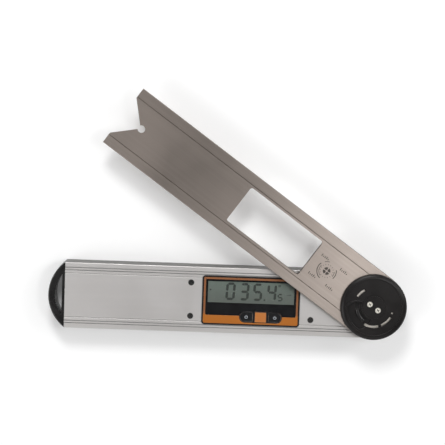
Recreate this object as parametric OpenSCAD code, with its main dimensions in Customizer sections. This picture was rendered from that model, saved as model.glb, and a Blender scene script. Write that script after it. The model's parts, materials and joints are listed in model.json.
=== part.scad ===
// Digital angle finder: a hollow rail with a display, and a folding blade on one hub.
// The pivot axis is Z, the rail lies along -X on its back, and the blade turns above it.

/* [Arms] */
// Width of the rail and of the blade
arm_w = 52.4; // [50:0.2:58]
// Pivot axis to the end cap's seam
rail_l = 245; // [232:1:300]
// Height of the rail
rail_h = 20.5; // [18:0.5:24]
// Wall of the rail
rail_wall = 1.8; // [1.4:0.1:2.2]
// Pivot axis to the blade's tip
blade_l = 248.5; // [200:0.5:290]
// Height of the blade
blade_h = 6.5; // [6.5:0.5:12]
// Wall of the blade
blade_wall = 1.5; // [1.2:0.1:2]
// Free height between the rail's face and the blade
arm_gap = 0.8; // [0.6:0.1:1.5]
// Angle between the arms as they stand here
open_angle = 35.45; // [0:0.05:225]
// Radius of the long edges
edge_r = 0.6; // [0.3:0.1:1]
// Width of the fine grooves along the rail
groove_w = 0.6; // [0.4:0.1:0.8]
// Depth of the grooves
groove_d = 0.35; // [0.2:0.05:0.6]

/* [Blade] */
// How far the blade's window is set in from the bezel below it
window_inset = 1.95; // [1.5:0.05:3]
// How far the window's middle lies past the middle of the display
window_shift = 1.8; // [0:0.1:2.4]
// Corner radius of the window
window_r = 2; // [1:0.5:4]
// Depth of the right-angled notch in the tip
notch_d = 17.3; // [12:0.1:20]
// Radius of the relief hole at the notch's corner
relief_r = 3.1; // [2:0.1:4]
// Thickness of the ribs inside the blade
rib_t = 1.3; // [1:0.1:1.8]
// Distance of the blade's groove from its edge
blade_groove = 7.8; // [6:0.1:10]

/* [End cap] */
// How far the end cap stands out past the rail
cap_out = 13; // [11:0.5:18]
// Wall between the hanging slot and the cap's round edge
cap_rim = 5.4; // [4.5:0.1:6]
// Bar between the hanging slot and the rail
cap_bar = 2.2; // [1.6:0.1:3]
// Chamfer on the cap's round edge
cap_chamfer = 0.9; // [0.4:0.1:1.4]
// Length of the tongue that plugs into the rail
cap_tongue = 12; // [8:1:16]
// Wall of that tongue
tongue_wall = 3; // [2:0.1:4]

/* [Display] */
// Length of the display glass that shows
lcd_l = 68.7; // [64:0.1:72]
// Rail's edge to the seal round the display
face_margin = 6.6; // [6:0.1:9]
// Width of the seal's rim
seal_rim = 1.2; // [1:0.1:1.6]
// Orange rim beside and above the clear window
bezel_rim = 1.7; // [1.4:0.1:2.2]
// Orange bar below the clear window
bezel_bar = 6.4; // [5.6:0.1:7]
// Black border beside and above the glass
mask_rim = 1.6; // [1.4:0.1:2]
// Black band below the glass
mask_band = 10.1; // [9.4:0.1:11]
// Thickness of the clear window
lens_t = 1.2; // [0.8:0.1:1.4]
// Height of the bezel over the rail's face
bezel_t = 0.4; // [0.3:0.05:0.5]
// Seal's end to the module screws
screw_out = 9; // [7:0.1:10]
// Seal's side to the module screws
screw_in = 6.2; // [5:0.1:8]
// Thickness of the circuit boards
board_t = 1.6; // [1:0.1:1.6]

/* [Buttons] */
// Length of the oval that both buttons share
oval_l = 33; // [30:0.5:36]
// Width of that oval
oval_w = 8; // [7.4:0.1:8.4]
// Middle of the oval past the middle of the display
oval_x = 8.1; // [4:0.1:12]
// Length of the fixed block between the buttons
block_l = 8.8; // [6:0.1:10]
// Width of the dark bars beside that block
bar_w = 1.8; // [1:0.1:2.4]
// Crown radius of a button
crown_r = 16; // [12:1:30]
// Travel of a button
key_travel = 0.5; // [0.3:0.05:0.6]

/* [Battery] */
// Radius of the coin cell
cell_r = 10; // [8:0.5:10.5]
// Thickness of the coin cell
cell_t = 3.2; // [2:0.1:3.6]
// Wall of the holder beside the cell
holder_wall = 3.5; // [3:0.1:5]
// Free length of the leads between the holder and the display
lead_l = 9.4; // [6:0.1:14]
// Radius of a lead
lead_r = 0.6; // [0.4:0.1:0.8]

/* [Hub] */
// Radius of the pivot shaft
shaft_r = 6.5; // [6:0.1:7]
// Wall of the pivot bush
bush_t = 2.4; // [1.6:0.1:3]
// Running clearance on the shaft's radius
run_fit = 0.04; // [0.02:0.01:0.08]
// Length of the housing's tongue in the rail, from the pivot axis
tenon_l = 40; // [38:1:44]
// How far the black round ends stay inside the arms' sides
end_inset = 1; // [0.6:0.1:1.4]
// Height of the hub cap over the blade
hub_cap_h = 3.2; // [3.2:0.1:6]
// Chamfer round the hub cap
hub_chamfer = 1.1; // [0.5:0.1:1.4]
// Radius of the middle plate that the two screws hold
plate_r = 9; // [8.5:0.1:9.6]
// Distance between the two plate screws
plate_screw_d = 8; // [7.4:0.1:8.4]
// Radius of the plate screws' heads
plate_head_r = 2.4; // [2:0.1:2.6]
// Inner radius of the arc slots
slot_r = 14.4; // [13.6:0.1:14.8]
// Width of the arc slots
slot_w = 2; // [1.6:0.1:2.4]
// Radius of the thumb hollow
hollow_r = 11; // [9.5:0.1:12]
// Depth of the thumb hollow
hollow_d = 1.5; // [1:0.1:1.8]
// Throw of the lock tab
lock_throw = 22; // [10:1:24]

/* [Hidden] */
$fn = 96;

fit = 0.05;            // gap between pieces that are pushed together
loose = 0.1;           // gap round pieces that drop into a pocket
over = 1;              // how far a cut runs past a face

// Countersunk screws, as head radius, shank radius and length
rail_screw = [2.4, 1.25, 9];
carrier_screw = [2.4, 1.25, 8];
blade_screw = [2, 1, 4.8];
plate_shank_r = 1.1;
plate_shank_l = 8;     // how far the plate screws reach into the shaft
plate_head_h = 1.6;

// Levels and widths of the arms
blade_z = rail_h + arm_gap;
blade_top = blade_z + blade_h;
rail_in_w = arm_w - 2*rail_wall;
rail_in_h = rail_h - 2*rail_wall;
corner_r = 1;          // corners inside the rail

// Long grooves in the rail's face, as distance in from the edge and width
rail_grooves = [[4.0, groove_w], [6.0, groove_w], [8.6, 1.5*groove_w]];

// Hub
hub_r = arm_w/2 - rail_wall - fit;
hub_wall = 2.6;
pocket_r = hub_r - hub_wall;
bush_r = shaft_r + bush_t;
recess_r = bush_r + 2.1;
recess_h = 6.2;
cover_t = 1.5;
stud_r = shaft_r - 1.5;
nut_h = 2.7;
washer_t = 0.5;
rotor_t = 1.2;
sensor_gap = 0.8;
rotor_gap = 1.9;       // turning disc to the rail's face
rotor_z = rail_h - rotor_gap - rotor_t;
pocket_z = rotor_z - sensor_gap - board_t;
ring_t = 0.6;          // lock ring
tab_base_t = 0.5;      // black foot of the lock tab
ring_z = blade_top + loose;
roof_z = ring_z + ring_t + tab_base_t + loose;
end_r = arm_w/2 - end_inset;
cap_r = end_r;
cap_top = blade_top + hub_cap_h;
neck_r = shaft_r + 4.5;
cavity_r = cap_r - 6.2;
housing_screw = [-tenon_l + 8, rail_in_w/2 - 12.2];
flex_w = 10;
flex_t = 0.3;
flex_rise = 0.4;       // film over the pocket's floor

// Blade
window_l = lcd_l + 2*mask_rim + 2*bezel_rim - 2*window_inset;
window_w = arm_w - 2*face_margin - 2*seal_rim - 2*window_inset;
rib_out = window_w/2 + rib_t/2 + fit;
rib_in = 5.6;
prong_l = tenon_l - 2;
prong_y = (rib_out + rib_in)/2;
prong_w = rib_out - rib_in - rib_t - 2*loose;
prong_h = blade_h - 2*blade_wall - 2*loose;
blade_screw_x = prong_l - 7;

// Hub cap's slots and hollow, as angles from the blade folded on the rail
slot_arcs = [[17, 22], [-30, 6.5], [-81, -38.5], [155, 184]];
tab_arc = [-136, -89];
tab_slot = [tab_arc[0] - lock_throw - 2, tab_arc[1] + 2];
tab_r = [slot_r - 2.4, slot_r + 0.2];
tab_rise = 0.9;        // tab over the hub cap
tab_gap = 0.25;
hollow_at = (cap_r - hollow_r - 0.2)*[-0.44, -0.9];
hollow_edge = 4.2;
lip_w = 1.2;
lip_h = 0.5;

// Display, from the glass outwards
lens_l = lcd_l + 2*mask_rim;
bezel_l = lens_l + 2*bezel_rim;
seal_l = bezel_l + 2*seal_rim;
seal_w = arm_w - 2*face_margin;
bezel_w = seal_w - 2*seal_rim;
lens_w = bezel_w - bezel_rim - bezel_bar;
lens_y = (bezel_bar - bezel_rim)/2;
lcd_w = lens_w - mask_rim - mask_band;
lcd_y = lens_y + (mask_band - mask_rim)/2;
lcd_edge = mask_rim - 0.4;
flange = 1;            // bezel's edge over the cut-out at its ends
flange_side = 0.6;
cut_l = bezel_l - 2*flange;
cut_w = bezel_w - 2*flange_side;
plug_l = cut_l - 2*loose;
plug_w = cut_w - 2*loose;
plug_r = 1.8;
plug_z = rail_h - 3;
floor_z = rail_h - 1.6;
bezel_top = rail_h + bezel_t;
lens_top = bezel_top - 0.2;
lens_z = lens_top - lens_t;
lens_r = 0.6;
mask_t = 0.2;
mask_z = lens_z - mask_t;
lcd_t = 1.7;
lcd_z = mask_z - lcd_t;
surround_w = 0.5;
oval_at = [oval_x, -(plug_w/2 - 0.4 - surround_w - fit - oval_w/2)];
key_top = bezel_top + 0.1;
key_h = 1.4;
key_gap = 0.15;
key_mid = (block_l/2 + bar_w + oval_l/2)/2;
stem = [6, 5];
stem_gap = 0.25;
carrier_gap = 5.2;     // hub housing's tongue to the display's carrier
carrier_l = seal_l + 2*screw_out + 7.8;
carrier_w = rail_in_w - 4.4;
board_l = carrier_l - 12;
board_w = carrier_w - 4;
board_z = lcd_z - 3.5 - board_t;
board_top = board_z + board_t;
carrier_z = board_z - 1.5;
carrier_top = rail_h - rail_wall;
switch = [6, 1.4, 1.7];        // side, height and plunger radius
key_end = board_top + switch[1] + key_travel + 0.5;   // lower end of a button's stem
display_x = tenon_l + carrier_gap + carrier_l/2;
window_x = display_x + window_shift;
screw_dx = seal_l + 2*screw_out;
screw_dy = seal_w - 2*screw_in;

// Battery
door_r = cell_r + 2.4;
coin_slot = [15, 2, 1];
holder_l = 2*cell_r + 2*holder_wall + 3;
holder_w = 2*cell_r + 2*holder_wall;
cell_z = rail_wall + 0.4;
contact = [2, 6, 0.45];        // inner radius, outer radius and thickness
holder_h = cell_t + 3.4;
cell_x = display_x + carrier_l/2 + lead_l + holder_l/2;
lead_z = holder_h + rail_wall - 1;
lead_y = 3;

// ---------- shapes used more than once ----------

module rounded_square(l, w, r) {
    k = min(r, l/2 - 0.01, w/2 - 0.01);
    square([l - 2*k, w], center = true);
    square([l, w - 2*k], center = true);
    for (x = [-1, 1], y = [-1, 1])
        translate([x*(l/2 - k), y*(w/2 - k)]) circle(k);
}

module slab(l, w, h, r) {
    linear_extrude(h) rounded_square(l, w, r);
}

// A section drawn in Y and Z, drawn out along X from x0 to x1
module along_x(x0, x1) {
    translate([x0, 0, 0]) rotate([90, 0, 90]) linear_extrude(x1 - x0) children();
}

module ring(r_in, r_out, h) {
    difference() {
        cylinder(r = r_out, h = h);
        translate([0, 0, -over]) cylinder(r = r_in, h = h + 2*over);
    }
}

// Wedge of a circle from angle a to angle b, less than a half turn
module sector(a, b, r) {
    m = (a + b)/2;
    far = r/cos((b - a)/2) + 1;
    polygon([[0, 0], far*[cos(a), sin(a)], 2*far*[cos(m), sin(m)], far*[cos(b), sin(b)]]);
}

module arc_band(a, b, r0, r1) {
    difference() {
        intersection() {
            circle(r1);
            sector(a, b, r1);
        }
        circle(r0);
    }
}

// Head up at z = 0; grow widens it for the hole that it sits in
module countersunk(size, grow = 0) {
    head_h = size[0] - size[1];
    translate([0, 0, -head_h]) cylinder(r1 = size[1] + grow, r2 = size[0] + grow, h = head_h);
    translate([0, 0, -size[2]]) cylinder(r = size[1] + grow, h = size[2] - head_h + 0.01);
}

module at_display() {
    translate([-display_x, 0, 0]) children();
}

module oval(grow) {
    translate(oval_at) rounded_square(oval_l + 2*grow, oval_w + 2*grow, oval_w/2 + grow);
}

module at_corners(dx, dy) {
    for (x = [-1, 1], y = [-1, 1]) translate([x*dx/2, y*dy/2, 0]) children();
}

module at_housing_screws() {
    for (s = [-1, 1]) translate([housing_screw[0], s*housing_screw[1], 0]) mirror([0, 0, 1]) children();
}

module at_blade_screws() {
    for (s = [-1, 1]) translate([-blade_screw_x, s*prong_y, blade_z]) mirror([0, 0, 1]) children();
}

module opened() {
    rotate([0, 0, -open_angle]) children();
}

// Round end of an arm: a full disc inside the side walls, and a little wider past the axis
module round_end(z, h) {
    translate([0, 0, z]) cylinder(r = hub_r, h = h);
    intersection() {
        translate([0, 0, z]) cylinder(r = end_r, h = h);
        translate([fit, -arm_w, z]) cube([arm_w, 2*arm_w, h]);
    }
}

// ---------- rail side ----------

module rail_section() {
    difference() {
        translate([0, rail_h/2]) rounded_square(arm_w, rail_h, edge_r);
        translate([0, rail_h/2]) rounded_square(rail_in_w, rail_in_h, corner_r);
        for (s = [-1, 1], g = rail_grooves) translate([s*(arm_w/2 - g[0]), rail_h])
            polygon([[-g[1]/2, over], [-g[1]/2, 0], [0, -groove_d], [g[1]/2, 0], [g[1]/2, over]]);
    }
}

module rail() {
    color("silver") difference() {
        along_x(-rail_l, 0) rail_section();
        translate([0, 0, -over]) cylinder(r = hub_r + fit, h = rail_h + 2*over);
        at_display() translate([0, 0, rail_h - rail_wall - over]) slab(cut_l, cut_w, rail_wall + 2*over, 2);
        at_display() at_corners(screw_dx, screw_dy) translate([0, 0, rail_h]) countersunk(carrier_screw, fit);
        translate([-cell_x, 0, -over]) cylinder(r = door_r + loose, h = rail_wall + 2*over);
        at_housing_screws() countersunk(rail_screw, fit);
    }
}

// Round the rail's end, with a curved slot to hang the tool by
module end_cap() {
    arc_r = (arm_w*arm_w/4 + cap_out*cap_out)/(2*cap_out);
    arc_x = -rail_l - cap_out + arc_r;
    color("black") {
        difference() {
            intersection() {
                translate([arc_x, 0, 0]) {
                    cylinder(r1 = arc_r - cap_chamfer, r2 = arc_r, h = cap_chamfer);
                    translate([0, 0, cap_chamfer]) cylinder(r = arc_r, h = rail_h - 2*cap_chamfer);
                    translate([0, 0, rail_h - cap_chamfer])
                        cylinder(r1 = arc_r, r2 = arc_r - cap_chamfer, h = cap_chamfer);
                }
                translate([-rail_l - cap_out - over, -arm_w/2, 0])
                    cube([cap_out + over - fit, arm_w, rail_h]);
            }
            intersection() {
                translate([arc_x, 0, -over]) cylinder(r = arc_r - cap_rim, h = rail_h + 2*over);
                translate([-rail_l - cap_out, -arm_w/2, -over])
                    cube([cap_out - cap_bar, arm_w, rail_h + 2*over]);
            }
        }
        along_x(-rail_l - over, -rail_l + cap_tongue) difference() {
            translate([0, rail_h/2]) rounded_square(rail_in_w - 2*fit, rail_in_h - 2*fit, corner_r);
            translate([0, rail_h/2]) rounded_square(rail_in_w - 2*tongue_wall, rail_in_h - 2*tongue_wall, corner_r);
        }
    }
}

module hub_housing() {
    color("black") difference() {
        union() {
            round_end(0, rail_h);
            along_x(-tenon_l, -hub_r/2) translate([0, rail_h/2])
                rounded_square(rail_in_w - 2*fit, rail_in_h - 2*fit, corner_r);
        }
        translate([0, 0, pocket_z]) cylinder(r = pocket_r, h = rail_h);
        translate([0, 0, -over]) cylinder(r = bush_r + fit, h = rail_h + 2*over);
        translate([0, 0, -over]) cylinder(r = recess_r, h = recess_h + over);
        translate([-tenon_l - over, -flex_w/2 - 2, pocket_z]) cube([tenon_l - pocket_r + 4, flex_w + 4, 2.4]);
        at_housing_screws() countersunk(rail_screw + [0, 0, loose], fit);
    }
}

module pivot_bush() {
    color("goldenrod") translate([0, 0, recess_h])
        ring(shaft_r + run_fit, bush_r, pocket_z - recess_h);
}

module glide_ring() {
    color("white") translate([0, 0, rail_h]) ring(pocket_r + 0.3, hub_r - 0.2, arm_gap - loose);
}

module bottom_cover() {
    color("black") cylinder(r = recess_r - loose, h = cover_t);
}

module housing_screws() {
    color("dimgray") at_housing_screws() countersunk(rail_screw);
}

// ---------- display ----------

module display_seal() {
    color("black") at_display() translate([0, 0, rail_h]) difference() {
        slab(seal_l, seal_w, bezel_t, 2*seal_rim);
        translate([0, 0, -over]) slab(bezel_l + 2*fit, bezel_w + 2*fit, bezel_t + 2*over, seal_rim);
    }
}

module lens_outline(gap) {
    difference() {
        translate([0, lens_y]) rounded_square(lens_l - 2*gap, lens_w - 2*gap, lens_r);
        oval(surround_w + 2*fit + gap);
    }
}

// Orange frame that drops through the rail's face, with the floor that carries the buttons
module display_bezel() {
    shelf_top = oval_at[1] + oval_w/2 + surround_w + 1.4;
    color("orange") at_display() {
        difference() {
            union() {
                translate([0, 0, rail_h]) slab(bezel_l, bezel_w, bezel_t, seal_rim);
                translate([0, 0, plug_z]) slab(plug_l, plug_w, rail_h - plug_z, plug_r);
            }
            translate([0, lens_y, plug_z - over]) slab(lens_l, lens_w, rail_h - plug_z + 3*over, lens_r);
            translate([0, 0, floor_z]) linear_extrude(3*over) oval(surround_w + fit);
            key_stems(floor_z - plug_z + 2*over, plug_z - over, stem_gap);
        }
        difference() {
            translate([oval_at[0], (shelf_top - plug_w/2)/2, plug_z])
                slab(oval_l + 3, plug_w/2 + shelf_top, floor_z - plug_z, 0.5);
            key_stems(floor_z - plug_z + 2*over, plug_z - over, stem_gap);
        }
        translate([oval_at[0], oval_at[1], floor_z - 0.01])
            slab(block_l, oval_w - 2*fit, bezel_top - floor_z + 0.01, 0.3);
    }
}

module key_stems(h, z, grow) {
    for (s = [-1, 1]) translate([oval_at[0] + s*key_mid, oval_at[1], z])
        slab(stem[0] + 2*grow, stem[1] + 2*grow, h, 0.5);
}

// Dark ring round the oval, with a bar on each side of the block
module button_surround() {
    color("dimgray") at_display() translate([0, 0, floor_z]) linear_extrude(bezel_top - floor_z) {
        difference() {
            oval(surround_w);
            oval(0);
        }
        intersection() {
            oval(surround_w/2);
            for (s = [-1, 1]) translate([oval_at[0] + s*(block_l + bar_w + fit)/2, oval_at[1]])
                square([bar_w - fit, 2*oval_w], center = true);
        }
    }
}

module display_window() {
    color("lightblue", 0.3) at_display() translate([0, 0, lens_z]) linear_extrude(lens_t) lens_outline(loose);
}

module display_mask() {
    color("black") at_display() translate([0, 0, mask_z]) linear_extrude(mask_t) difference() {
        lens_outline(loose);
        translate([0, lcd_y]) square([lcd_l, lcd_w], center = true);
    }
}

module lcd_panel() {
    color("darkseagreen") at_display() translate([0, lcd_y, lcd_z])
        slab(lcd_l + 2*lcd_edge, lcd_w + 2*lcd_edge, lcd_t, lens_r/2);
}

module lcd_connector() {
    color("gray") at_display() for (s = [-1, 1])
        translate([0, lcd_y + s*(lcd_w/2 - 0.3), board_top]) slab(lcd_l - 4, 2.2, lcd_z - board_top, 0.2);
}

// Frame under the rail's face that the display drops into and the board lies against
module display_carrier() {
    color("black") at_display() difference() {
        translate([0, 0, carrier_z]) slab(carrier_l, carrier_w, carrier_top - carrier_z - fit, 2);
        translate([0, 0, carrier_z - over])
            slab(board_l + 2*loose, board_w + 2*loose, board_top - carrier_z + over, 1);
        translate([0, 0, carrier_z]) slab(cut_l + 1, cut_w + 1, carrier_top, 1.5);
        at_corners(screw_dx, screw_dy) translate([0, 0, rail_h])
            translate([0, 0, -carrier_screw[2] - loose]) cylinder(r = carrier_screw[1] + fit, h = rail_h);
    }
}

module carrier_screws() {
    color("black") at_display() at_corners(screw_dx, screw_dy) translate([0, 0, rail_h])
        countersunk(carrier_screw);
}

module circuit_board() {
    color("darkgreen") at_display() translate([0, 0, board_z]) slab(board_l, board_w, board_t - fit, 1);
}

module key_switches() {
    color("silver") at_display() for (s = [-1, 1])
        translate([oval_at[0] + s*key_mid, oval_at[1], board_top - fit]) {
            slab(switch[0], switch[0], switch[1], 0.3);
            cylinder(r = switch[2], h = key_end - key_travel - board_top);
        }
}

// One end of the shared oval with a crowned top, s = -1 on the left and 1 on the right
module key(s) {
    at_display() {
        intersection() {
            translate([0, 0, key_top - key_h]) linear_extrude(key_h) intersection() {
                oval(-key_gap);
                translate([oval_at[0] + s*(block_l/2 + bar_w + key_gap + oval_l/2), oval_at[1]])
                    square([oval_l, 2*oval_w], center = true);
            }
            translate([oval_at[0], oval_at[1], key_top - crown_r])
                rotate([0, 90, 0]) cylinder(r = crown_r, h = 2*oval_l, center = true);
        }
        translate([oval_at[0] + s*key_mid, oval_at[1], key_end])
            slab(stem[0], stem[1], key_top - key_h - key_end + 0.01, 0.4);
    }
}

module zero_button() { color("black") key(-1); }

module power_button() { color("black") key(1); }

// ---------- battery ----------

module battery_holder() {
    color("black") translate([-cell_x, 0, 0]) difference() {
        translate([0, 0, rail_wall + fit]) slab(holder_l, holder_w, holder_h, 2);
        cylinder(r = cell_r + 0.3, h = cell_z + cell_t + contact[2] + fit);
        cylinder(r = door_r + loose, h = cell_z + loose);
    }
}

module coin_cell() {
    color("silver") translate([-cell_x, 0, cell_z]) cylinder(r = cell_r, h = cell_t);
}

module cell_contact() {
    color("gold") translate([-cell_x, 0, cell_z + cell_t]) ring(contact[0], contact[1], contact[2]);
}

module battery_leads() {
    color("firebrick") for (s = [-1, 1]) translate([-cell_x + holder_l/2 + fit, s*lead_y, lead_z + 3*lead_r])
        rotate([0, 90, 0]) cylinder(r = lead_r, h = lead_l - 2*fit);
}

module battery_door() {
    color("black") translate([-cell_x, 0, loose]) difference() {
        cylinder(r = door_r, h = cell_z - 2*loose);
        translate([0, 0, -loose]) slab(coin_slot[0], coin_slot[1], coin_slot[2] + loose, coin_slot[1]/2 - 0.1);
    }
}

// ---------- angle sensor and pivot ----------

module angle_stator() {
    color("darkgreen") translate([0, 0, pocket_z]) ring(bush_r + 0.6, pocket_r - loose, board_t);
}

module stator_flex() {
    color("peru") translate([-display_x + carrier_l/2 + fit, -flex_w/2, pocket_z + flex_rise])
        cube([display_x - carrier_l/2 - pocket_r + loose - 2*fit, flex_w, flex_t]);
}

module angle_rotor() {
    color("darkgreen") opened() translate([0, 0, rotor_z]) ring(shaft_r + fit, pocket_r - 1, rotor_t);
}

module pivot_shaft() {
    stud_z = recess_h - washer_t - nut_h - 0.3;
    color("gainsboro") opened() difference() {
        union() {
            translate([0, 0, recess_h]) cylinder(r = shaft_r, h = roof_z - recess_h);
            translate([0, 0, stud_z]) cylinder(r = stud_r, h = recess_h - stud_z + 0.01);
        }
        for (s = [-1, 1]) translate([s*plate_screw_d/2, 0, roof_z - plate_shank_l - over])
            cylinder(r = plate_shank_r + fit, h = plate_shank_l + 2*over);
    }
}

module wave_washer() {
    color("goldenrod") translate([0, 0, recess_h - washer_t - fit]) ring(stud_r + fit, recess_r - 1, washer_t);
}

module shaft_nut() {
    color("silver") opened() translate([0, 0, recess_h - washer_t - nut_h - fit]) difference() {
        cylinder(r = recess_r - 1.6, h = nut_h, $fn = 6);
        translate([0, 0, -over]) cylinder(r = stud_r + fit, h = nut_h + 2*over);
    }
}

// ---------- blade side ----------

module blade_section() {
    difference() {
        translate([0, blade_h/2]) rounded_square(arm_w, blade_h, edge_r);
        difference() {
            translate([0, blade_h/2])
                rounded_square(arm_w - 2*blade_wall, blade_h - 2*blade_wall, 0.6);
            for (s = [-1, 1], y = [rib_in, rib_out])
                translate([s*y, blade_h/2]) square([rib_t, blade_h], center = true);
        }
        for (s = [-1, 1]) translate([s*(arm_w/2 - blade_groove), blade_h])
            polygon([[-groove_w/2, over], [-groove_w/2, 0], [0, -groove_d], [groove_w/2, 0], [groove_w/2, over]]);
    }
}

// Hollow ribbed blade, cut by the window, the notch and its relief hole
module blade() {
    color("tan") opened() difference() {
        translate([0, 0, blade_z]) along_x(-blade_l, 0) blade_section();
        translate([0, 0, blade_z - over]) cylinder(r = hub_r + fit, h = blade_h + 2*over);
        translate([-window_x, 0, blade_z - over]) slab(window_l, window_w, blade_h + 2*over, window_r);
        translate([-blade_l, 0, blade_z - over]) linear_extrude(blade_h + 2*over)
            polygon([[-over, notch_d + over], [notch_d, 0], [-over, -notch_d - over]]);
        translate([-blade_l + notch_d + 0.5, 0, blade_z - over])
            cylinder(r = relief_r, h = blade_h + 2*over);
        at_blade_screws() countersunk([blade_screw[0], blade_screw[1], blade_wall + over], fit);
    }
}

module blade_hub() {
    color("black") opened() difference() {
        union() {
            round_end(blade_z, blade_h);
            translate([0, 0, rotor_z + rotor_t + 0.01]) cylinder(r = neck_r, h = blade_z - rotor_z - rotor_t + over);
            translate([0, 0, blade_top - over]) cylinder(r = neck_r, h = roof_z - blade_top + over);
            for (s = [-1, 1])
                translate([-prong_l, s*prong_y - prong_w/2, blade_z + blade_wall + loose])
                    cube([prong_l - hub_r/2, prong_w, prong_h]);
        }
        translate([0, 0, rotor_z]) cylinder(r = shaft_r + fit, h = roof_z);
        at_blade_screws() countersunk(blade_screw + [0, 0, loose], fit);
    }
}

module blade_screws() {
    color("dimgray") opened() at_blade_screws() countersunk(blade_screw);
}

module lock_slots() {
    for (a = slot_arcs) arc_band(a[0], a[1], slot_r, slot_r + slot_w);
    arc_band(tab_slot[0], tab_slot[1], tab_r[0] - tab_gap, tab_r[1] + tab_gap);
}

module hollow_outline(grow) {
    intersection() {
        translate(hollow_at) circle(hollow_r + grow);
        circle(cap_r - hollow_edge + grow);
    }
}

module hub_cap() {
    color("black") opened() difference() {
        union() {
            translate([0, 0, blade_top + fit]) cylinder(r = cap_r, h = hub_cap_h - hub_chamfer - fit);
            translate([0, 0, cap_top - hub_chamfer]) cylinder(r1 = cap_r, r2 = cap_r - hub_chamfer, h = hub_chamfer);
            translate([0, 0, cap_top - over]) linear_extrude(over + lip_h) difference() {
                hollow_outline(lip_w);
                circle(plate_r + 0.6);
            }
        }
        translate([0, 0, blade_top - over]) cylinder(r = cavity_r, h = roof_z - blade_top + over);
        translate([0, 0, blade_top - over]) cylinder(r = plate_r + loose, h = hub_cap_h + 2*over);
        translate([0, 0, blade_top]) linear_extrude(hub_cap_h + 2*over) lock_slots();
        translate([0, 0, cap_top - hollow_d]) linear_extrude(hollow_d + over) difference() {
            hollow_outline(0);
            circle(plate_r + 1);
        }
    }
}

module cap_plate() {
    color("black") opened() difference() {
        translate([0, 0, roof_z]) cylinder(r = plate_r, h = cap_top - roof_z + 0.2);
        for (s = [-1, 1]) translate([s*plate_screw_d/2, 0, 0]) {
            translate([0, 0, roof_z - over]) cylinder(r = plate_shank_r + fit, h = hub_cap_h + 2*over);
            translate([0, 0, cap_top + 0.4 - plate_head_h]) cylinder(r = plate_head_r + loose, h = plate_head_h + over);
        }
    }
}

// Button heads with a hexagon socket
module cap_screws() {
    color("gainsboro") opened() for (s = [-1, 1]) translate([s*plate_screw_d/2, 0, 0]) {
        translate([0, 0, roof_z - plate_shank_l]) cylinder(r = plate_shank_r, h = cap_top - roof_z + plate_shank_l);
        translate([0, 0, cap_top + 0.4 - plate_head_h]) difference() {
            cylinder(r = plate_head_r, h = plate_head_h);
            translate([0, 0, plate_head_h - 0.9]) cylinder(r = plate_shank_r, h = plate_head_h, $fn = 6);
        }
    }
}

module lock_ring() {
    color("silver") opened() translate([0, 0, ring_z]) ring(neck_r + loose, cavity_r - 0.3, ring_t);
}

module lock_tab() {
    color("black") opened() translate([0, 0, ring_z + ring_t]) {
        linear_extrude(tab_base_t) arc_band(tab_slot[0] - 2, tab_arc[1] + 5, tab_r[0] - 0.8, tab_r[1] + 0.8);
        linear_extrude(cap_top - ring_z - ring_t + tab_rise) arc_band(tab_arc[0], tab_arc[1], tab_r[0], tab_r[1]);
    }
}

rail();
end_cap();
hub_housing();
pivot_bush();
glide_ring();
bottom_cover();
housing_screws();
display_seal();
display_bezel();
display_window();
display_mask();
lcd_panel();
lcd_connector();
button_surround();
display_carrier();
carrier_screws();
circuit_board();
key_switches();
angle_stator();
stator_flex();
battery_holder();
coin_cell();
cell_contact();
battery_leads();
battery_door();
zero_button();
power_button();
blade();
blade_hub();
blade_screws();
angle_rotor();
pivot_shaft();
wave_washer();
shaft_nut();
hub_cap();
cap_plate();
cap_screws();
lock_ring();
lock_tab();
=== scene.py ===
import json
import math
import bpy
import bmesh
from mathutils import Matrix, Vector


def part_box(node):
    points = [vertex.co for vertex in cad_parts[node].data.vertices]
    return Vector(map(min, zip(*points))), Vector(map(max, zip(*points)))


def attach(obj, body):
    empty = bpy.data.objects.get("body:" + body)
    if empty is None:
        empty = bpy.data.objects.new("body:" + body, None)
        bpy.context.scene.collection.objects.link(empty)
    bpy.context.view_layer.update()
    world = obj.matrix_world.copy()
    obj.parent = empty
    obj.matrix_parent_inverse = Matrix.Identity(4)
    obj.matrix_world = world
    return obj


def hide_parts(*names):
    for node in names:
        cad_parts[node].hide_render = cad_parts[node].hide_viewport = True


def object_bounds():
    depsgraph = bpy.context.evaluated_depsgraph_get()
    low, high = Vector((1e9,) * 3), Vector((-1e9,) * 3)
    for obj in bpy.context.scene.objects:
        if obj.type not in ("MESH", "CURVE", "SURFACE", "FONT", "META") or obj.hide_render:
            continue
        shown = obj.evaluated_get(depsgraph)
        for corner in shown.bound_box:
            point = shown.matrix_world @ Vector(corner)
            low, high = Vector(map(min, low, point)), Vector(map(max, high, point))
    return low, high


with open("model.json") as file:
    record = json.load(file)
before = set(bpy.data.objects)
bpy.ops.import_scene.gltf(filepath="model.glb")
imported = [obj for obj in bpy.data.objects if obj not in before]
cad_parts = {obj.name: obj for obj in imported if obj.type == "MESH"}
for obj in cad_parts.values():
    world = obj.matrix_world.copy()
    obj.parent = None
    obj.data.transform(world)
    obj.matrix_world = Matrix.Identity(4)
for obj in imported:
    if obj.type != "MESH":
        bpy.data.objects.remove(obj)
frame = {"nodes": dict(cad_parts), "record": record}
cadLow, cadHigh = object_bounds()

mm = 0.001
parts = frame["nodes"]
bladeAngle = math.radians(-35.45)    # how far the blade is turned from lying along the rail
bladeTurn = Matrix.Rotation(bladeAngle, 4, "Z")


def addObject(name, data):
    new = bpy.data.objects.new(name, data)
    bpy.context.scene.collection.objects.link(new)
    return new


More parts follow.
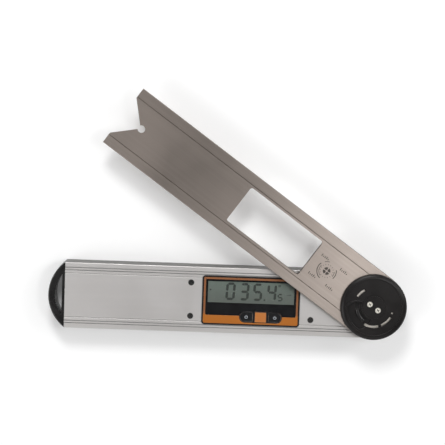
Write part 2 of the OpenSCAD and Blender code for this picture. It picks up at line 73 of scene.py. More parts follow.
# A socket among the inputs is linked to the new node, and any other value is set on it
def addNode(tree, kind, inputs=None, **settings):
    new = tree.nodes.new(kind)
    for name, value in settings.items():
        setattr(new, name, value)
    for name, value in (inputs or {}).items():
        if isinstance(value, bpy.types.NodeSocket):
            tree.links.new(value, new.inputs[name])
        else:
            new.inputs[name].default_value = value
    return new


def maths(tree, kind, *values, **settings):
    return addNode(tree, "ShaderNodeMath", dict(enumerate(values)), operation=kind, **settings).outputs[0]


def mixColour(tree, factor, first, second):
    return addNode(tree, "ShaderNodeMix", {0: factor, 6: first, 7: second}, data_type="RGBA").outputs[2]


def mixValue(tree, factor, first, second):
    return addNode(tree, "ShaderNodeMix", {0: factor, 2: first, 3: second}, data_type="FLOAT").outputs[0]


# Goes from toLow to toHigh as the value goes from low to high
def spread(tree, value, low, high, toLow=0.0, toHigh=1.0, kind="LINEAR"):
    return addNode(tree, "ShaderNodeMapRange", {"Value": value, "From Min": low, "From Max": high,
                   "To Min": toLow, "To Max": toHigh}, interpolation_type=kind).outputs[0]


def objectSpot(tree):
    return addNode(tree, "ShaderNodeTexCoord").outputs["Object"]


def newMaterial(name):
    material = bpy.data.materials.new(name)
    material.use_nodes = True
    material.node_tree.nodes.clear()
    return material, material.node_tree


def showSurface(tree, shader):
    addNode(tree, "ShaderNodeOutputMaterial", {"Surface": shader.outputs[0]})


camera = {
    "place": (-0.12884, 0.19626, 1.35807),
    "turn": (-0.100112, -0.001769, 0.035509),
    "lens": 137.53, "sensor": 36, "farthest": 20,
}


def makeCamera(v):
    data = bpy.data.cameras.new("camera")
    data.lens = v["lens"]
    data.sensor_width = v["sensor"]
    data.clip_end = v["farthest"]
    cameraObject = addObject("camera", data)
    cameraObject.location = v["place"]
    cameraObject.rotation_euler = v["turn"]
    bpy.context.scene.camera = cameraObject
    bpy.context.scene.view_settings.view_transform = "Standard"


floorValues = {
    "half": 3.0,            # metres from the middle to each edge
    "gap": 0.05,            # millimetres under the part
    "tone": (0.86, 0.86, 0.86, 1),
    "glow": 0.11,           # what the camera sees added, so that the open floor is white
}


def makeFloor(v):
    mesh = bpy.data.meshes.new("floor")
    half = v["half"]
    z = cadLow.z - v["gap"]*mm
    corners = [(-half, -half, z), (half, -half, z), (half, half, z), (-half, half, z)]
    mesh.from_pydata(corners, [], [(0, 1, 2, 3)])
    floor = addObject("floor", mesh)
    material, tree = newMaterial("paleFloor")
    path = addNode(tree, "ShaderNodeLightPath")
    seen = maths(tree, "MAXIMUM", path.outputs["Is Camera Ray"], path.outputs["Is Glossy Ray"])
    seen = maths(tree, "MAXIMUM", seen, path.outputs["Is Transmission Ray"])
    strength = maths(tree, "MULTIPLY", seen, v["glow"])
    paint = addNode(tree, "ShaderNodeBsdfDiffuse", {"Color": v["tone"]})
    glow = addNode(tree, "ShaderNodeEmission", {"Color": (1, 1, 1, 1), "Strength": strength})
    showSurface(tree, addNode(tree, "ShaderNodeAddShader", {0: paint.outputs[0], 1: glow.outputs[0]}))
    mesh.materials.append(material)


worldValues = {
    "around": (1.0, 1.0, 1.0, 1),
    "overhead": (0.18, 0.18, 0.18, 1),
    "fadeFrom": 0.54,       # sine of the elevation where the darker top begins
    "fadeTo": 0.70,         # and where it is as dark as it gets
    "strength": 0.8,
}


def makeWorld(v):
    world = bpy.data.worlds.new("studio")
    world.use_nodes = True
    tree = world.node_tree
    tree.nodes.clear()
    way = addNode(tree, "ShaderNodeTexCoord")
    axes = addNode(tree, "ShaderNodeSeparateXYZ", {0: way.outputs["Generated"]})
    top = spread(tree, axes.outputs["Z"], low=v["fadeFrom"], high=v["fadeTo"], kind="SMOOTHSTEP")
    shade = mixColour(tree, top, v["around"], v["overhead"])
    sky = addNode(tree, "ShaderNodeBackground", {"Color": shade, "Strength": v["strength"]})
    white = addNode(tree, "ShaderNodeBackground", {"Color": (1, 1, 1, 1), "Strength": 1.0})
    seen = addNode(tree, "ShaderNodeLightPath").outputs["Is Camera Ray"]
    both = addNode(tree, "ShaderNodeMixShader", {0: seen, 1: sky.outputs[0], 2: white.outputs[0]})
    addNode(tree, "ShaderNodeOutputWorld", {"Surface": both.outputs[0]})
    bpy.context.scene.world = world


lamps = {
    "keyLamp": {"place": (-0.25, 0.90, 1.0), "aim": (-0.12, 0.05, 0.0), "size": (0.35, 0.35), "power": 8.0},
    "lowerLamp": {"place": (-0.15, -0.85, 0.9), "aim": (-0.15, 0.0, 0.0), "size": (1.2, 0.5), "power": 1.6},
    "leftLamp": {"place": (-1.0, -0.35, 0.9), "aim": (-0.15, 0.05, 0.0), "size": (0.5, 0.5), "power": 2.0},
    "nearLamp": {"place": (-0.62, -0.25, 0.8), "aim": (-0.2, 0.0, 0.0), "size": (0.3, 0.4), "power": 0.8},
    "hubLamp": {"place": (0.16, 0.10, 0.75), "aim": (-0.02, 0.04, 0.0), "size": (0.14, 0.14), "power": 0.85},
    "rimLamp": {"place": (0.65, 0.30, 0.70), "aim": (0.0, 0.0, 0.02), "size": (0.35, 0.35), "power": 1.8},
}


def makeLamp(name, v):
    data = bpy.data.lights.new(name, "AREA")
    data.shape = "RECTANGLE"
    data.size, data.size_y = v["size"]
    data.energy = v["power"]
    lamp = addObject(name, data)
    lamp.location = v["place"]
    lamp.rotation_euler = (Vector(v["aim"]) - Vector(v["place"])).to_track_quat("-Z", "Y").to_euler()


makeCamera(camera)
makeFloor(floorValues)
makeWorld(worldValues)
for name, v in lamps.items():
    makeLamp(name, v)
print("camera, floor and light are set")


# A node tree with named sockets, for materials or for Geometry Nodes
def newGroup(name, inputs, outputs, kind="ShaderNodeTree"):
    tree = bpy.data.node_groups.new(name, kind)
    for label, holds, value in inputs:
        socket = tree.interface.new_socket(name=label, in_out="INPUT", socket_type="NodeSocket" + holds)
        if value is not None:
            socket.default_value = value
    for label, holds in outputs:
        tree.interface.new_socket(name=label, in_out="OUTPUT", socket_type="NodeSocket" + holds)
    return tree, tree.nodes.new("NodeGroupInput"), tree.nodes.new("NodeGroupOutput")


# Mask is high on rubbed outer edges, broken up so that it isn't a drawn line; Groove is high in grooves and
# inner corners, which it darkens as painted shade; Rounded is a normal that turns softly over the edges
def makeEdgeWearAndShade():
    tree, given, result = newGroup("edgeWearAndShade", [
        ("Radius", "Float", 0.4*mm), ("Reach", "Float", 0.12), ("Breakup", "Float", 0.5),
        ("Scale", "Float", 180.0), ("Groove Width", "Float", 0.9*mm),
    ], [("Mask", "Float"), ("Groove", "Float"), ("Rounded", "Vector")])
    rounded = addNode(tree, "ShaderNodeBevel", {"Radius": given.outputs["Radius"]}, samples=6)
    flat = addNode(tree, "ShaderNodeNewGeometry")
    along = addNode(tree, "ShaderNodeVectorMath", {0: rounded.outputs[0], 1: flat.outputs["Normal"]},
                    operation="DOT_PRODUCT")
    turned = maths(tree, "SUBTRACT", 1.0, along.outputs["Value"])
    edge = spread(tree, turned, low=0.01, high=given.outputs["Reach"])
    noise = addNode(tree, "ShaderNodeTexNoise", {"Vector": objectSpot(tree), "Scale": given.outputs["Scale"],
                    "Detail": 4.0, "Roughness": 0.6})
    holes = spread(tree, noise.outputs[0], low=0.35, high=0.65)
    kept = mixValue(tree, given.outputs["Breakup"], 1.0, holes)
    shut = addNode(tree, "ShaderNodeAmbientOcclusion", {"Distance": given.outputs["Groove Width"]},
                   samples=6)
    grooveShade = spread(tree, shut.outputs["AO"], low=0.95, high=0.55)
    mask = maths(tree, "MULTIPLY", edge, kept)
    mask = maths(tree, "MULTIPLY", mask, maths(tree, "SUBTRACT", 1.0, grooveShade), use_clamp=True)
    tree.links.new(mask, result.inputs["Mask"])
    tree.links.new(grooveShade, result.inputs["Groove"])
    tree.links.new(rounded.outputs[0], result.inputs["Rounded"])
    return tree


# Lines drawn out along one way, as rolling or brushing leaves them
def makeDrawnLines():
    tree, given, result = newGroup("drawnLines", [
        ("Turn", "Vector", (0, 0, 0)), ("Fine", "Vector", (0.05, 0.0004, 0.0004)),
        ("Broad", "Vector", (0.3, 0.004, 0.004)),
    ], [("Fine Line", "Float"), ("Broad Line", "Float")])
    spot = objectSpot(tree)
    for size in ("Fine", "Broad"):
        place = addNode(tree, "ShaderNodeMapping", {"Vector": spot, "Rotation": given.outputs["Turn"],
                        "Scale": given.outputs[size]}, vector_type="TEXTURE")
        noise = addNode(tree, "ShaderNodeTexNoise", {"Vector": place.outputs[0], "Scale": 1.0, "Detail": 3.0,
                        "Roughness": 0.55})
        tree.links.new(noise.outputs[0], result.inputs[size + " Line"])
    return tree


# Slow patches, such as handling marks and uneven anodising
def makePatches():
    tree, given, result = newGroup("patches", [
        ("Scale", "Float", 30.0), ("Low", "Float", 0.0), ("High", "Float", 1.0),
    ], [("Patch", "Float")])
    noise = addNode(tree, "ShaderNodeTexNoise", {"Vector": objectSpot(tree), "Scale": given.outputs["Scale"],
                    "Detail": 4.0, "Roughness": 0.6, "Distortion": 0.3})
    patch = spread(tree, noise.outputs[0], low=0.3, high=0.7, toLow=given.outputs["Low"],
                   toHigh=given.outputs["High"], kind="SMOOTHSTEP")
    tree.links.new(patch, result.inputs["Patch"])
    return tree


# Grain of a spark-eroded mould or a blasted face
def makeMouldGrain():
    tree, given, result = newGroup("mouldGrain", [("Size", "Float", 0.4*mm), ("Depth", "Float", 1.0)],
                                   [("Height", "Float")])
    spot = objectSpot(tree)
    scale = maths(tree, "DIVIDE", 1.0, given.outputs["Size"])
    cells = addNode(tree, "ShaderNodeTexVoronoi", {"Vector": spot, "Scale": scale}, feature="SMOOTH_F1")
    noise = addNode(tree, "ShaderNodeTexNoise", {"Vector": spot, "Scale": scale, "Detail": 2.0})
    both = maths(tree, "ADD", cells.outputs["Distance"], noise.outputs[0])
    tree.links.new(maths(tree, "MULTIPLY", both, given.outputs["Depth"]), result.inputs["Height"])
    return tree


groups = {
    "edgeWearAndShade": makeEdgeWearAndShade(),
    "drawnLines": makeDrawnLines(),
    "patches": makePatches(),
    "mouldGrain": makeMouldGrain(),
}


def useGroup(tree, name, inputs):
    return addNode(tree, "ShaderNodeGroup", inputs, node_tree=groups[name])


def grainBump(tree, height, strength, depth=1*mm, **inputs):
    inputs.update({"Strength": strength, "Distance": depth, "Height": height})
    return addNode(tree, "ShaderNodeBump", inputs).outputs[0]


# What a metal has where its own values don't say otherwise
metalBase = {
    "turn": 0.0, "stretch": 0.0, "grain": 0.2*mm, "grainDepth": 0.004, "grazing": (1, 1, 1, 1),
    "streakValue": 0.86,                # how bright a streak is against the tone
    # the side tone of each metal is painted shade, laid on walls between these two uprightnesses
    "flatFrom": 0.93, "sideFrom": 0.4,  # how upright a normal is on a top face, and on a side wall
    "wornGloss": 0.1,                   # how much less rough a rubbed edge is
}
# In each metal, the groove tone is painted shade for its grooves and inner corners
metals = {
    "railAluminium": {
        "tone": (0.70, 0.675, 0.66, 1), "patchTone": (0.66, 0.64, 0.63, 1), "wornAndGlint": (0.86, 0.85, 0.84, 1),
        "grooveShadeTone": (0.30, 0.295, 0.29, 1), "sideShadeTone": (0.36, 0.354, 0.348, 1),
        "smooth": 0.42, "dull": 0.48, "patch": 22.0, "wear": 0.3*mm, "wearAmount": 0.5, "streak": 0.2,
        "fine": (0.06, 0.0005, 0.0005), "broad": (0.5, 0.006, 0.006), "lineDepth": 0.012,
        "grain": 0.3*mm, "grainDepth": 0.010, "grazing": (0.4, 0.4, 0.4, 1),
    },
    "bladeAluminium": {
        "tone": (0.39, 0.338, 0.303, 1), "patchTone": (0.36, 0.310, 0.279, 1), "wornAndGlint": (0.58, 0.52, 0.47, 1),
        "grooveShadeTone": (0.25, 0.217, 0.194, 1), "sideShadeTone": (0.26, 0.228, 0.205, 1),
        "smooth": 0.34, "dull": 0.42, "patch": 14.0, "wear": 0.3*mm, "wearAmount": 0.4, "streak": 0.6,
        "fine": (0.09, 0.00045, 0.00045), "broad": (0.5, 0.0025, 0.0025), "lineDepth": 0.03,
        "grain": 0.3*mm, "turn": bladeAngle, "stretch": 0.7, "grazing": (0.6, 0.57, 0.54, 1),
    },
    "screwSteel": {
        "tone": (0.86, 0.83, 0.74, 1), "patchTone": (0.78, 0.75, 0.66, 1), "wornAndGlint": (0.92, 0.90, 0.84, 1),
        "grooveShadeTone": (0.10, 0.095, 0.09, 1), "sideShadeTone": (0.6, 0.59, 0.58, 1),
        "smooth": 0.42, "dull": 0.52, "patch": 300.0, "wear": 0.15*mm, "wearAmount": 0.8, "streak": 0.4,
        "fine": (0.002, 0.002, 0.002), "broad": (0.006, 0.006, 0.006), "lineDepth": 0.01,
    },
    "ringSteel": {
        "tone": (0.78, 0.73, 0.66, 1), "patchTone": (0.70, 0.66, 0.60, 1), "wornAndGlint": (0.88, 0.86, 0.82, 1),
        "grooveShadeTone": (0.30, 0.27, 0.24, 1), "sideShadeTone": (0.66, 0.62, 0.56, 1),
        "smooth": 0.28, "dull": 0.40, "patch": 120.0, "wear": 0.15*mm, "wearAmount": 0.8, "streak": 0.5,
        "fine": (0.03, 0.0003, 0.0003), "broad": (0.05, 0.002, 0.002), "lineDepth": 0.02, "turn": bladeAngle,
    },
    "brass": {
        "tone": (0.75, 0.56, 0.28, 1), "patchTone": (0.62, 0.44, 0.20, 1), "wornAndGlint": (0.86, 0.70, 0.40, 1),
        "grooveShadeTone": (0.20, 0.13, 0.05, 1), "sideShadeTone": (0.66, 0.50, 0.25, 1),
        "smooth": 0.28, "dull": 0.42, "patch": 160.0, "wear": 0.2*mm, "wearAmount": 0.8, "streak": 0.5,
        "fine": (0.01, 0.0005, 0.0005), "broad": (0.02, 0.002, 0.002), "lineDepth": 0.01,
    },
}


def metal(name, v):
    material, tree = newMaterial(name)
    lines = useGroup(tree, "drawnLines", {"Turn": (0, 0, v["turn"]), "Fine": v["fine"], "Broad": v["broad"]})
    patch = useGroup(tree, "patches", {"Scale": v["patch"]}).outputs[0]
    wear = useGroup(tree, "edgeWearAndShade", {"Radius": v["wear"], "Reach": 0.15, "Breakup": 0.4})
    grain = useGroup(tree, "mouldGrain", {"Size": v["grain"], "Depth": v["grainDepth"]})
    dark = addNode(tree, "ShaderNodeHueSaturation", {"Value": v["streakValue"], "Color": v["tone"]})
    face = mixColour(tree, patch, v["tone"], v["patchTone"])
    streak = spread(tree, lines.outputs["Broad Line"], low=0.35, high=0.65, toHigh=v["streak"])
    face = mixColour(tree, streak, face, dark.outputs[0])
    normal = addNode(tree, "ShaderNodeTexCoord").outputs["Normal"]
    facing = addNode(tree, "ShaderNodeSeparateXYZ", {0: normal})
    upright = maths(tree, "ABSOLUTE", facing.outputs["Z"])
    # painted shade: side walls take a darker tone than the top face
    side = spread(tree, upright, low=v["flatFrom"], high=v["sideFrom"])
    face = mixColour(tree, side, face, v["sideShadeTone"])
    # painted shade: grooves and inner corners take the darker groove tone
    face = mixColour(tree, wear.outputs["Groove"], face, v["grooveShadeTone"])
    rubbed = maths(tree, "MULTIPLY", wear.outputs["Mask"], v["wearAmount"])
    face = mixColour(tree, rubbed, face, v["wornAndGlint"])
    rough = mixValue(tree, patch, v["smooth"], v["dull"])
    rough = maths(tree, "MULTIPLY_ADD", wear.outputs["Mask"], -v["wornGloss"], rough)
    ridge = maths(tree, "MULTIPLY_ADD", lines.outputs["Fine Line"], v["lineDepth"], grain.outputs[0])
    bump = grainBump(tree, ridge, strength=0.35)
    shader = addNode(tree, "ShaderNodeBsdfPrincipled", {"Base Color": face, "Roughness": rough,
                     "Metallic": 1.0, "Anisotropic": v["stretch"], "Specular Tint": v["grazing"],
                     "Normal": bump})
    if v["stretch"]:
        way = addNode(tree, "ShaderNodeCombineXYZ", {0: -math.sin(v["turn"]), 1: math.cos(v["turn"])})
        turned = addNode(tree, "ShaderNodeVectorTransform", {0: way.outputs[0]}, vector_type="VECTOR",
                         convert_from="OBJECT", convert_to="WORLD")
        tree.links.new(turned.outputs[0], shader.inputs["Tangent"])
    showSurface(tree, shader)
    return material


# The same for plastics, rubber, paint and marks
plasticBase = {"grain": 0.2*mm, "grainDepth": 0.004, "shine": 0.5, "coat": 0.0}
plastics = {
    "blackPlastic": {
        "tone": (0.0050, 0.0045, 0.0045, 1), "patchTone": (0.0075, 0.0068, 0.0068, 1),
        "wornAndGlint": (0.040, 0.036, 0.035, 1), "smooth": 0.24, "dull": 0.34, "patch": 60.0, "wear": 0.45*mm,
        "wearAmount": 0.5, "grain": 0.45*mm, "grainDepth": 0.010, "shine": 0.42,
    },
    "hubBlack": {
        "tone": (0.0050, 0.0040, 0.0038, 1), "patchTone": (0.0080, 0.0066, 0.0064, 1),
        "wornAndGlint": (0.050, 0.042, 0.038, 1), "smooth": 0.30, "dull": 0.42, "patch": 60.0, "wear": 0.45*mm,
        "wearAmount": 0.6, "grain": 0.45*mm, "grainDepth": 0.012, "shine": 0.27,
    },
    # Its light edge colour paints glints on the keys' edges: a painted highlight
    "keyBlack": {
        "tone": (0.007, 0.007, 0.008, 1), "patchTone": (0.012, 0.012, 0.013, 1),
        "wornAndGlint": (0.52, 0.46, 0.39, 1), "smooth": 0.10, "dull": 0.18, "patch": 120.0, "wear": 0.4*mm,
        "wearAmount": 0.85, "grain": 0.5*mm, "grainDepth": 0.002, "coat": 0.4,
    },
    # Its light edge colour paints glints on the lock tab's edges: a painted highlight
    "trimBlack": {
        "tone": (0.0060, 0.0052, 0.0050, 1), "patchTone": (0.0100, 0.0088, 0.0085, 1),
        "wornAndGlint": (0.27, 0.245, 0.22, 1), "smooth": 0.18, "dull": 0.26, "patch": 110.0, "wear": 0.5*mm,
        "wearAmount": 0.85, "grain": 0.5*mm, "coat": 0.2,
    },
    "blackGloss": {
        "tone": (0.008, 0.008, 0.009, 1), "patchTone": (0.014, 0.014, 0.016, 1),
        "wornAndGlint": (0.04, 0.04, 0.045, 1), "smooth": 0.12, "dull": 0.2, "patch": 120.0, "wear": 0.2*mm,
        "wearAmount": 0.4, "grain": 0.5*mm, "grainDepth": 0.002, "coat": 0.3,
    },
    "whitePlastic": {
        "tone": (0.80, 0.80, 0.77, 1), "patchTone": (0.74, 0.73, 0.69, 1), "wornAndGlint": (0.86, 0.86, 0.85, 1),
        "smooth": 0.35, "dull": 0.45, "patch": 90.0, "wear": 0.2*mm, "wearAmount": 0.2, "grain": 0.4*mm,
    },
    "rubber": {
        "tone": (0.005, 0.0042, 0.004, 1), "patchTone": (0.009, 0.0075, 0.007, 1),
        "wornAndGlint": (0.03, 0.027, 0.025, 1), "smooth": 0.62, "dull": 0.78, "patch": 80.0, "wear": 0.25*mm,
        "wearAmount": 0.15, "grain": 0.35*mm, "grainDepth": 0.02, "shine": 0.2,
    },
    "blackSteel": {
        "tone": (0.012, 0.012, 0.012, 1), "patchTone": (0.022, 0.02, 0.018, 1),
        "wornAndGlint": (0.16, 0.15, 0.145, 1), "smooth": 0.34, "dull": 0.5, "patch": 260.0, "wear": 0.12*mm,
        "wearAmount": 0.5, "grainDepth": 0.006, "shine": 0.45,
    },
    "leadSheath": {
        "tone": (0.55, 0.03, 0.025, 1), "patchTone": (0.46, 0.025, 0.02, 1), "wornAndGlint": (0.6, 0.12, 0.1, 1),
        "smooth": 0.3, "dull": 0.42, "patch": 200.0, "wear": 0.1*mm, "wearAmount": 0.1, "grainDepth": 0.003,
    },
    "flexFilm": {
        "tone": (0.62, 0.31, 0.07, 1), "patchTone": (0.52, 0.24, 0.05, 1), "wornAndGlint": (0.7, 0.45, 0.16, 1),
        "smooth": 0.16, "dull": 0.26, "patch": 150.0, "wear": 0.1*mm, "wearAmount": 0.2,
        "grain": 0.5*mm, "grainDepth": 0.002, "coat": 0.4,
    },
    "etchedMark": {
        "tone": (0.045, 0.038, 0.033, 1), "patchTone": (0.075, 0.064, 0.056, 1),
        "wornAndGlint": (0.10, 0.09, 0.08, 1), "smooth": 0.5, "dull": 0.7, "patch": 400.0, "wear": 0.05*mm,
        "wearAmount": 0.1, "shine": 0.3,
    },
    "printedMark": {
        "tone": (0.50, 0.53, 0.57, 1), "patchTone": (0.42, 0.45, 0.49, 1), "wornAndGlint": (0.3, 0.32, 0.35, 1),
        "smooth": 0.4, "dull": 0.5, "patch": 500.0, "wear": 0.05*mm, "wearAmount": 0.1,
        "grainDepth": 0.002, "shine": 0.4,
    },
    "readoutInk": {
        "tone": (0.012, 0.015, 0.013, 1), "patchTone": (0.018, 0.021, 0.018, 1),
        "wornAndGlint": (0.05, 0.055, 0.05, 1), "smooth": 0.35, "dull": 0.45, "patch": 300.0, "wear": 0.02*mm,
        "wearAmount": 0.0, "grain": 0.3*mm, "grainDepth": 0.001, "shine": 0.3,
    },
}


def plastic(name, v):
    material, tree = newMaterial(name)
    patch = useGroup(tree, "patches", {"Scale": v["patch"]}).outputs[0]
    wear = useGroup(tree, "edgeWearAndShade", {"Radius": v["wear"], "Reach": 0.2, "Breakup": 0.6, "Scale": 240.0})
    grain = useGroup(tree, "mouldGrain", {"Size": v["grain"], "Depth": v["grainDepth"]})
    face = mixColour(tree, patch, v["tone"], v["patchTone"])
    # Rubbed edges take the edge colour; on the key and trim finishes that colour is a painted highlight
    rubbed = maths(tree, "MULTIPLY", wear.outputs["Mask"], v["wearAmount"])
    face = mixColour(tree, rubbed, face, v["wornAndGlint"])
    rough = mixValue(tree, patch, v["smooth"], v["dull"])
    bump = grainBump(tree, grain.outputs[0], strength=0.4, Normal=wear.outputs["Rounded"])
    showSurface(tree, addNode(tree, "ShaderNodeBsdfPrincipled", {"Base Color": face, "Roughness": rough,
                "Specular IOR Level": v["shine"], "Coat Weight": v["coat"], "Normal": bump}))
    return material


windowValues = {
    "tone": (0.93, 0.95, 0.94, 1), "shade": (0.95, 0.95, 0.95, 1), "index": 1.46,
    "smooth": 0.0, "dull": 0.03, "smears": 45.0,
}


# Clear plastic: the picture behind it stays lit, because lamps pass straight through
def clearWindow(v):
    material, tree = newMaterial("clearWindow")
    smear = useGroup(tree, "patches", {"Scale": v["smears"], "Low": v["smooth"], "High": v["dull"]})
    clear = addNode(tree, "ShaderNodeBsdfPrincipled", {"Base Color": v["tone"], "IOR": v["index"],
                    "Roughness": smear.outputs[0], "Transmission Weight": 1.0})
    through = addNode(tree, "ShaderNodeBsdfTransparent", {"Color": v["shade"]})
    path = addNode(tree, "ShaderNodeLightPath")
    showSurface(tree, addNode(tree, "ShaderNodeMixShader", {0: path.outputs["Is Shadow Ray"],
                1: clear.outputs[0], 2: through.outputs[0]}))
    return material


glassValues = {
    "tone": (0.082, 0.100, 0.086, 1), "patchTone": (0.073, 0.090, 0.077, 1),
    "lowTone": (0.062, 0.070, 0.061, 1), "smooth": 0.34, "dull": 0.42, "patch": 90.0,
    "pixel": 0.5*mm, "pixelDepth": 0.004,
}


# Front polariser of the display: grey green, darker towards its lower edge
def displayGlass(v):
    material, tree = newMaterial("displayGlass")
    low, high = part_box("lcd_panel")
    axes = addNode(tree, "ShaderNodeSeparateXYZ", {0: objectSpot(tree)})
    down = spread(tree, axes.outputs["Y"], low=low.y, high=high.y, toLow=1.0, toHigh=0.0, kind="SMOOTHSTEP")
    patch = useGroup(tree, "patches", {"Scale": v["patch"]}).outputs[0]
    face = mixColour(tree, patch, v["tone"], v["patchTone"])
    face = mixColour(tree, down, face, v["lowTone"])
    grain = useGroup(tree, "mouldGrain", {"Size": v["pixel"], "Depth": v["pixelDepth"]})
    rough = mixValue(tree, patch, v["smooth"], v["dull"])
    showSurface(tree, addNode(tree, "ShaderNodeBsdfPrincipled", {"Base Color": face, "Roughness": rough,
                "Normal": grainBump(tree, grain.outputs[0], strength=0.2)}))
    return material


boardValues = {
    "lacquer": (0.012, 0.10, 0.035, 1), "copperUnder": (0.03, 0.16, 0.06, 1), "edge": (0.32, 0.30, 0.14, 1),
    "smooth": 0.22, "dull": 0.36, "track": 2.5*mm, "trackHigh": 0.05*mm, "patch": 140.0, "wear": 0.2*mm,
}


# Green lacquer with the tracks showing through as a lighter green
def boardLacquer(v):
    material, tree = newMaterial("boardLacquer")
    bricks = addNode(tree, "ShaderNodeTexBrick", {"Vector": objectSpot(tree), "Scale": 1/v["track"],
                     "Mortar Size": 0.12, "Mortar Smooth": 0.1, "Mortar": (0, 0, 0, 1),
                     "Color1": (1, 1, 1, 1), "Color2": (1, 1, 1, 1)})
    tracks = bricks.outputs["Fac"]
    patch = useGroup(tree, "patches", {"Scale": v["patch"]})
    wear = useGroup(tree, "edgeWearAndShade", {"Radius": v["wear"], "Reach": 0.2})
    face = mixColour(tree, tracks, v["lacquer"], v["copperUnder"])
    face = mixColour(tree, wear.outputs["Mask"], face, v["edge"])
    rough = mixValue(tree, patch.outputs[0], v["smooth"], v["dull"])
    showSurface(tree, addNode(tree, "ShaderNodeBsdfPrincipled", {"Base Color": face, "Roughness": rough,
                "Coat Weight": 0.3, "Normal": grainBump(tree, tracks, strength=0.2, depth=v["trackHigh"])}))
    return material


# Heights are above the bezel's lower edge; outer and inner are where the painted shade along the edges fades
# out and in again, from the bezel's edge inwards
bezelValues = {
    "bar": (0.37, 0.121, 0.019, 1), "barHigh": 7.6, "barFade": 1.5, "ragged": 0.4,
    "band": (0.27, 0.105, 0.045, 1), "rubbed": (0.54, 0.26, 0.11, 1), "smooth": 0.26, "dull": 0.36,
    "block": (0.43, 0.152, 0.040, 1), "blockOff": 8.1, "blockHalf": 4.7, "blockLow": 1.9, "blockHigh": 14.0,
    "border": (0.045, 0.015, 0.006, 1), "outer": (0.1, 0.5), "inner": (1.2, 1.6),
    "patch": 90.0, "wear": 0.3*mm, "grain": 0.4*mm, "grainDepth": 0.004, "shine": 0.4,
}


# Orange moulding: its lower bar and the block between the buttons are bright, and the rest of the frame is
# painted darker brown as shade
def bezelOrange(v):
    material, tree = newMaterial("bezelOrange")
    low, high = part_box("display_bezel")
    middle = (low.x + high.x)/2
    barTop, fade, ragged = low.y + v["barHigh"]*mm, v["barFade"]*mm, v["ragged"]*mm
    axes = addNode(tree, "ShaderNodeSeparateXYZ", {0: objectSpot(tree)})
    x, y = axes.outputs["X"], axes.outputs["Y"]
    patch = useGroup(tree, "patches", {"Scale": v["patch"], "Low": -ragged, "High": ragged}).outputs[0]
    up = spread(tree, maths(tree, "ADD", y, patch), low=barTop - fade, high=barTop + fade, kind="SMOOTHSTEP")
    wear = useGroup(tree, "edgeWearAndShade", {"Radius": v["wear"], "Reach": 0.2, "Breakup": 0.4, "Scale": 240.0})
    grain = useGroup(tree, "mouldGrain", {"Size": v["grain"], "Depth": v["grainDepth"]})
    # painted shade: above the bar the frame takes a darker brown
    face = mixColour(tree, up, v["bar"], v["band"])
    offMiddle = maths(tree, "ABSOLUTE", maths(tree, "SUBTRACT", x, middle))
    fromEnd = maths(tree, "SUBTRACT", (high.x - low.x)/2, offMiddle)
    fromEdge = maths(tree, "MINIMUM", fromEnd, maths(tree, "SUBTRACT", high.y, y))
    # painted shade: a dark line along the frame's outer and inner edges
    for (near, far), (atNear, atFar) in ((v["outer"], (1.0, 0.0)), (v["inner"], (0.0, 1.0))):
        border = spread(tree, fromEdge, low=near*mm, high=far*mm, toLow=atNear, toHigh=atFar)
        face = mixColour(tree, maths(tree, "MULTIPLY", border, up), face, v["border"])
    beside = maths(tree, "COMPARE", x, middle + v["blockOff"]*mm, v["blockHalf"]*mm)
    below = maths(tree, "LESS_THAN", y, low.y + v["blockHigh"]*mm)
    above = maths(tree, "GREATER_THAN", y, low.y + v["blockLow"]*mm)
    block = maths(tree, "MULTIPLY", maths(tree, "MULTIPLY", beside, below), above)
    face = mixColour(tree, block, face, v["block"])
    face = mixColour(tree, wear.outputs["Mask"], face, v["rubbed"])
    rough = mixValue(tree, patch, v["smooth"], v["dull"])
    bump = grainBump(tree, grain.outputs[0], strength=0.4, Normal=wear.outputs["Rounded"])
    showSurface(tree, addNode(tree, "ShaderNodeBsdfPrincipled", {"Base Color": face, "Roughness": rough,
                "Specular IOR Level": v["shine"], "Normal": bump}))
    return material


finishes = {name: metal(name, {**metalBase, **v}) for name, v in metals.items()}
finishes.update({name: plastic(name, {**plasticBase, **v}) for name, v in plastics.items()})
finishes["clearWindow"] = clearWindow(windowValues)
finishes["displayGlass"] = displayGlass(glassValues)
finishes["boardLacquer"] = boardLacquer(boardValues)
finishes["bezelOrange"] = bezelOrange(bezelValues)

slotFinish = {
    "rail_aluminium": "railAluminium", "blade_aluminium": "bladeAluminium", "black_plastic": "blackPlastic",
    "black_gloss": "blackGloss", "orange_plastic": "bezelOrange", "white_plastic": "whitePlastic",
    "rubber": "rubber", "clear_window": "clearWindow", "lcd_glass": "displayGlass", "board": "boardLacquer",
    "flex_film": "flexFilm", "lead_sheath": "leadSheath", "screw_steel": "screwSteel",
    "ring_steel": "ringSteel", "black_steel": "blackSteel", "brass": "brass",
}
nodeFinish = {"zero_button": "keyBlack", "power_button": "keyBlack",
              "hub_cap": "hubBlack", "cap_plate": "hubBlack"}
for part in frame["record"]["subparts"]:
    mesh = parts[part["node"]].data
    mesh.materials.clear()
    mesh.materials.append(finishes[nodeFinish.get(part["node"], slotFinish[part["material_slot"]])])
print("materials are on", len(parts), "nodes")


def addPiece(name, mesh, body, finish, replaced=()):
    mesh.materials.clear()
    mesh.materials.append(finishes[finish])
    piece = addObject(name, mesh)
    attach(piece, body)
    if replaced:
        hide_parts(*replaced)


def geometryTree(name, inputs):
    inputs = [("Geometry", "Geometry", None), *inputs]
    return newGroup(name, inputs, [("Geometry", "Geometry")], "GeometryNodeTree")


